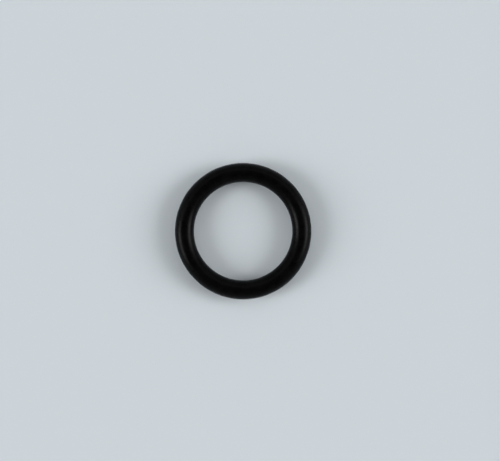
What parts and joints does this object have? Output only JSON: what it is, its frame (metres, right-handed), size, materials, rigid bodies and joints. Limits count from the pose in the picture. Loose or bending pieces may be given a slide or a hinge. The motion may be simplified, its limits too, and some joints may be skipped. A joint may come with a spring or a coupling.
{
  "type": "silicone o-ring",
  "caption": "Black moulded silicone sealing ring with a round section, for a groove on a shaft or in a bore, where it seals by being squeezed.",
  "frame": {"origin": "centre of the ring, on its mid-plane, which is the plane of the mould line", "axes": "+Z along the ring's axis, so the ring lies flat and its lowest line is half a section below the origin; X and Y are any two radial directions"},
  "size_m": [0.0258, 0.0258, 0.0036],
  "materials": {
    "silicone": "satin"
  },
  "bodies": {
    "root": {"o_ring": "silicone"}
  },
  "joints": []
}
